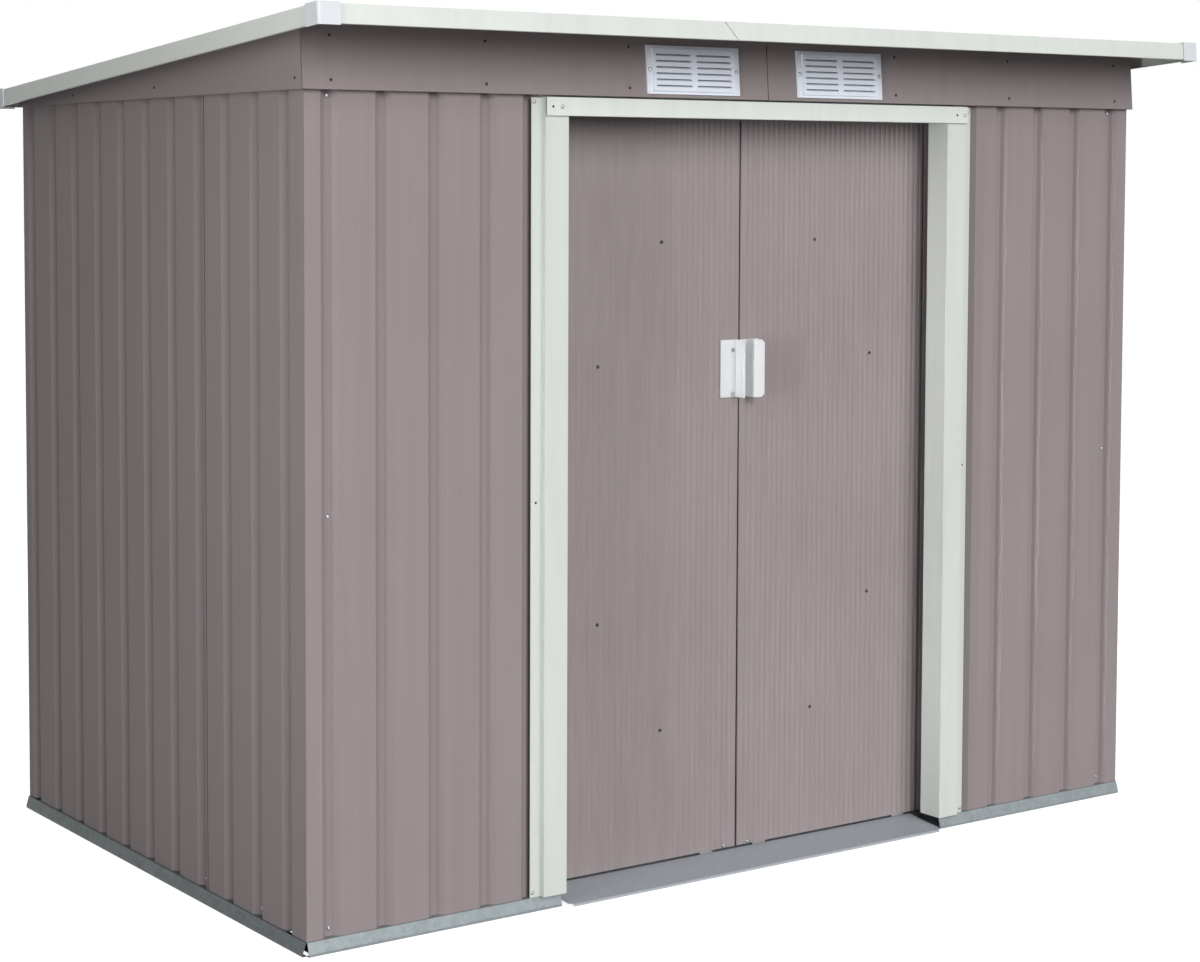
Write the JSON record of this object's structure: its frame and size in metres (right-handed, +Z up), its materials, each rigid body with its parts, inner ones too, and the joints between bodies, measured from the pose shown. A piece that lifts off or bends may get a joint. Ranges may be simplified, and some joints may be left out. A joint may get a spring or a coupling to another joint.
{
  "type": "metal storage shed",
  "caption": "Garden storage shed of ribbed painted sheet with a lean-to roof, louvred vents and sliding doors that run behind the front wall sheets.",
  "frame": {"origin": "on the ground under the middle of the roof's outline", "axes": "+X to the right of someone facing the doors, along the front wall; -Y out of the doorway; +Z up"},
  "size_m": [2.317, 1.4702, 1.7624],
  "materials": {
    "taupe_paint": "satin coil-coated paint",
    "cream_paint": "satin coil-coated paint",
    "galvanised_strip": "dull galvanised",
    "white_plastic": "moulded"
  },
  "bodies": {
    "shed": {"base_rails_front": "galvanised_strip", "base_rail_left": "galvanised_strip", "base_rail_right": "galvanised_strip", "base_rail_back": "galvanised_strip", "door_ramp": "galvanised_strip", "lower_track": "galvanised_strip", "front_left_sheet": "taupe_paint", "front_right_sheet": "taupe_paint", "left_rear_sheet": "taupe_paint", "right_rear_sheet": "taupe_paint", "back_left_sheet": "taupe_paint", "back_middle_sheet": "taupe_paint", "back_right_sheet": "taupe_paint", "jamb_left": "cream_paint", "jamb_right": "cream_paint", "door_header": "cream_paint", "upper_track": "galvanised_strip", "mid_rail_left": "galvanised_strip", "mid_rail_right": "galvanised_strip", "mid_rail_back": "galvanised_strip", "mid_rails_front": "galvanised_strip", "top_rail_left": "galvanised_strip", "top_rail_right": "galvanised_strip", "top_rail_front": "galvanised_strip", "top_rail_back": "galvanised_strip", "roof_beam": "galvanised_strip", "roof_left_sheet": "taupe_paint", "roof_middle_sheet": "taupe_paint", "roof_right_sheet": "taupe_paint", "roof_trim_front_left": "cream_paint", "roof_trim_front_right": "cream_paint", "roof_trim_left": "cream_paint", "roof_trim_right": "cream_paint", "roof_trim_back": "cream_paint", "roof_corner_caps": "white_plastic", "fascia_front_left": "taupe_paint", "fascia_front_right": "taupe_paint", "fascia_left": "taupe_paint", "fascia_right": "taupe_paint", "vent_left": "white_plastic", "vent_right": "white_plastic"},
    "door_left": {"door_left_panel": "taupe_paint", "door_left_braces": "galvanised_strip", "door_left_runners": "white_plastic", "door_left_handle": "white_plastic"},
    "door_right": {"door_right_panel": "taupe_paint", "door_right_braces": "galvanised_strip", "door_right_runners": "white_plastic", "door_right_handle": "white_plastic"}
  },
  "joints": [
    {"name": "door_left_slide", "type": "slide", "parent": "shed", "child": "door_left", "axis": [-1, 0, 0], "range_m": [0, 0.45]},
    {"name": "door_right_slide", "type": "slide", "parent": "shed", "child": "door_right", "axis": [1, 0, 0], "range_m": [0, 0.45]}
  ]
}
